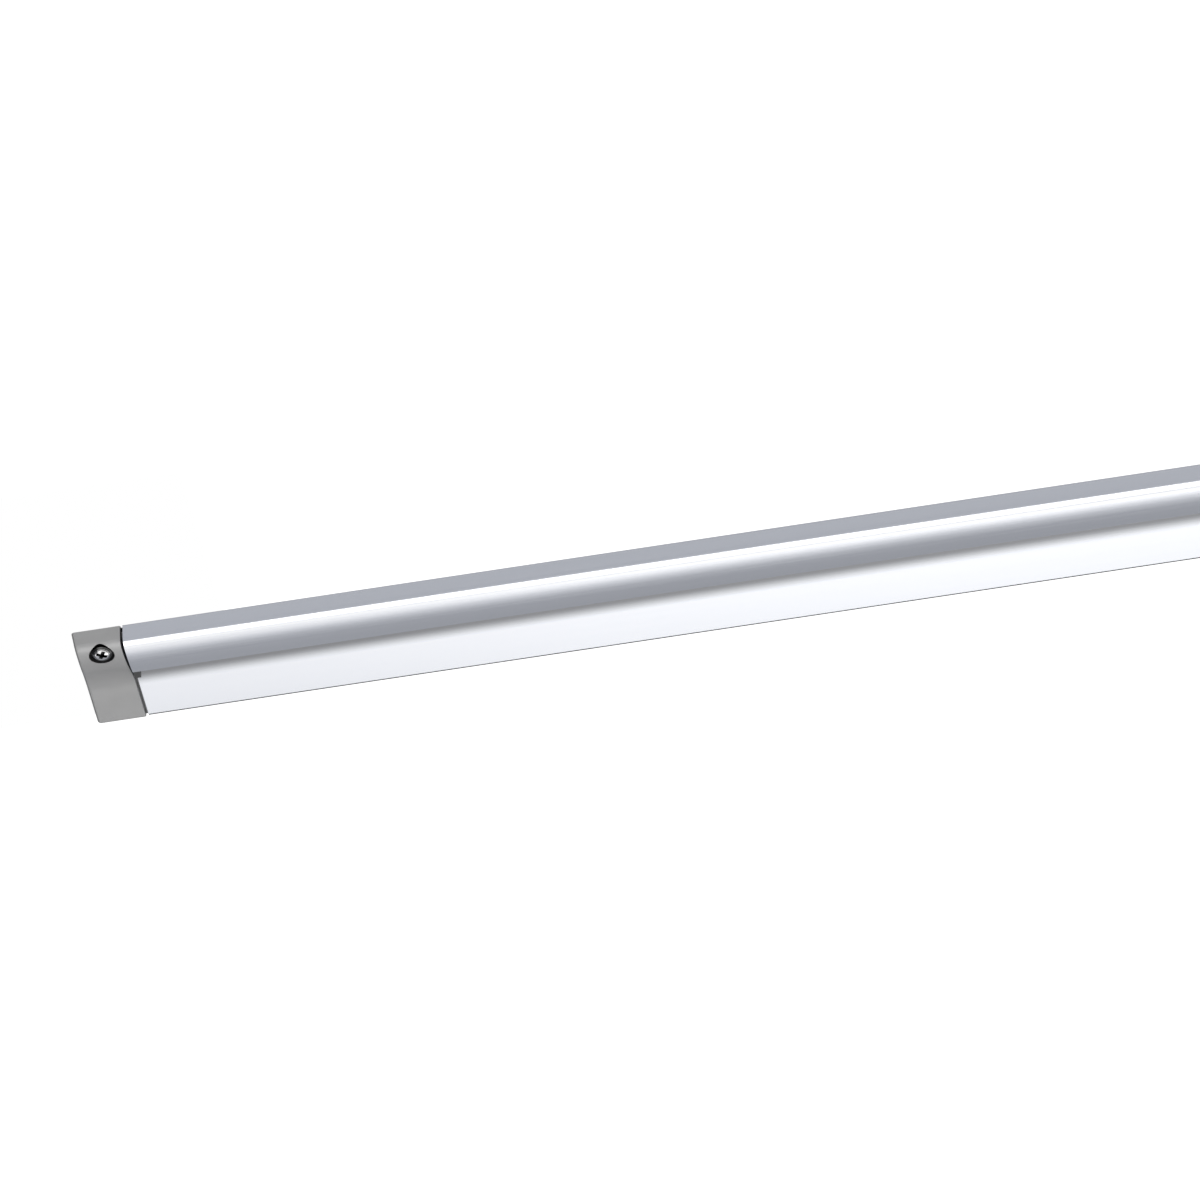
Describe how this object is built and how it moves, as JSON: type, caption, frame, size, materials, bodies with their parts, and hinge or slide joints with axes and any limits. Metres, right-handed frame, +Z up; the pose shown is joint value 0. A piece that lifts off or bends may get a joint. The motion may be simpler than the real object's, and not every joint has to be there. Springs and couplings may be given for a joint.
{
  "type": "order ticket rail",
  "caption": "Wall-mounted ticket rail: satin aluminium extrusion with a curled hood over loose gripping balls, grey moulded end caps and a cross-head screw through each cap.",
  "frame": {"origin": "the point of the wall plane midway between the two mounting screws", "axes": "+X along the rail to the right as seen from the front, -Y out of the wall towards the reader, +Z up"},
  "size_m": [0.6096, 0.0355, 0.0508],
  "materials": {
    "satin_aluminium": "satin anodised, drawn lengthwise",
    "grey_plastic": "semi-matt moulded",
    "screw_steel": "bright plated",
    "ball_steel": "polished bearing steel"
  },
  "bodies": {
    "rail": {"rail_extrusion": "satin_aluminium", "end_cap_left": "grey_plastic", "end_cap_right": "grey_plastic", "mounting_screw_left": "screw_steel", "mounting_screw_right": "screw_steel"},
    "ball_01": {"ball_01": "ball_steel"},
    "ball_02": {"ball_02": "ball_steel"},
    "ball_03": {"ball_03": "ball_steel"},
    "ball_04": {"ball_04": "ball_steel"},
    "ball_05": {"ball_05": "ball_steel"},
    "ball_06": {"ball_06": "ball_steel"},
    "ball_07": {"ball_07": "ball_steel"},
    "ball_08": {"ball_08": "ball_steel"},
    "ball_09": {"ball_09": "ball_steel"},
    "ball_10": {"ball_10": "ball_steel"},
    "ball_11": {"ball_11": "ball_steel"},
    "ball_12": {"ball_12": "ball_steel"},
    "ball_13": {"ball_13": "ball_steel"},
    "ball_14": {"ball_14": "ball_steel"},
    "ball_15": {"ball_15": "ball_steel"},
    "ball_16": {"ball_16": "ball_steel"},
    "ball_17": {"ball_17": "ball_steel"},
    "ball_18": {"ball_18": "ball_steel"},
    "ball_19": {"ball_19": "ball_steel"},
    "ball_20": {"ball_20": "ball_steel"},
    "ball_21": {"ball_21": "ball_steel"},
    "ball_22": {"ball_22": "ball_steel"},
    "ball_23": {"ball_23": "ball_steel"},
    "ball_24": {"ball_24": "ball_steel"}
  },
  "joints": [
    {"name": "ball_01_lift", "type": "slide", "parent": "rail", "child": "ball_01", "axis": [0, 0, 1], "range_m": [0, 0.006]},
    {"name": "ball_02_lift", "type": "slide", "parent": "rail", "child": "ball_02", "axis": [0, 0, 1], "range_m": [0, 0.006]},
    {"name": "ball_03_lift", "type": "slide", "parent": "rail", "child": "ball_03", "axis": [0, 0, 1], "range_m": [0, 0.006]},
    {"name": "ball_04_lift", "type": "slide", "parent": "rail", "child": "ball_04", "axis": [0, 0, 1], "range_m": [0, 0.006]},
    {"name": "ball_05_lift", "type": "slide", "parent": "rail", "child": "ball_05", "axis": [0, 0, 1], "range_m": [0, 0.006]},
    {"name": "ball_06_lift", "type": "slide", "parent": "rail", "child": "ball_06", "axis": [0, 0, 1], "range_m": [0, 0.006]},
    {"name": "ball_07_lift", "type": "slide", "parent": "rail", "child": "ball_07", "axis": [0, 0, 1], "range_m": [0, 0.006]},
    {"name": "ball_08_lift", "type": "slide", "parent": "rail", "child": "ball_08", "axis": [0, 0, 1], "range_m": [0, 0.006]},
    {"name": "ball_09_lift", "type": "slide", "parent": "rail", "child": "ball_09", "axis": [0, 0, 1], "range_m": [0, 0.006]},
    {"name": "ball_10_lift", "type": "slide", "parent": "rail", "child": "ball_10", "axis": [0, 0, 1], "range_m": [0, 0.006]},
    {"name": "ball_11_lift", "type": "slide", "parent": "rail", "child": "ball_11", "axis": [0, 0, 1], "range_m": [0, 0.006]},
    {"name": "ball_12_lift", "type": "slide", "parent": "rail", "child": "ball_12", "axis": [0, 0, 1], "range_m": [0, 0.006]},
    {"name": "ball_13_lift", "type": "slide", "parent": "rail", "child": "ball_13", "axis": [0, 0, 1], "range_m": [0, 0.006]},
    {"name": "ball_14_lift", "type": "slide", "parent": "rail", "child": "ball_14", "axis": [0, 0, 1], "range_m": [0, 0.006]},
    {"name": "ball_15_lift", "type": "slide", "parent": "rail", "child": "ball_15", "axis": [0, 0, 1], "range_m": [0, 0.006]},
    {"name": "ball_16_lift", "type": "slide", "parent": "rail", "child": "ball_16", "axis": [0, 0, 1], "range_m": [0, 0.006]},
    {"name": "ball_17_lift", "type": "slide", "parent": "rail", "child": "ball_17", "axis": [0, 0, 1], "range_m": [0, 0.006]},
    {"name": "ball_18_lift", "type": "slide", "parent": "rail", "child": "ball_18", "axis": [0, 0, 1], "range_m": [0, 0.006]},
    {"name": "ball_19_lift", "type": "slide", "parent": "rail", "child": "ball_19", "axis": [0, 0, 1], "range_m": [0, 0.006]},
    {"name": "ball_20_lift", "type": "slide", "parent": "rail", "child": "ball_20", "axis": [0, 0, 1], "range_m": [0, 0.006]},
    {"name": "ball_21_lift", "type": "slide", "parent": "rail", "child": "ball_21", "axis": [0, 0, 1], "range_m": [0, 0.006]},
    {"name": "ball_22_lift", "type": "slide", "parent": "rail", "child": "ball_22", "axis": [0, 0, 1], "range_m": [0, 0.006]},
    {"name": "ball_23_lift", "type": "slide", "parent": "rail", "child": "ball_23", "axis": [0, 0, 1], "range_m": [0, 0.006]},
    {"name": "ball_24_lift", "type": "slide", "parent": "rail", "child": "ball_24", "axis": [0, 0, 1], "range_m": [0, 0.006]}
  ]
}
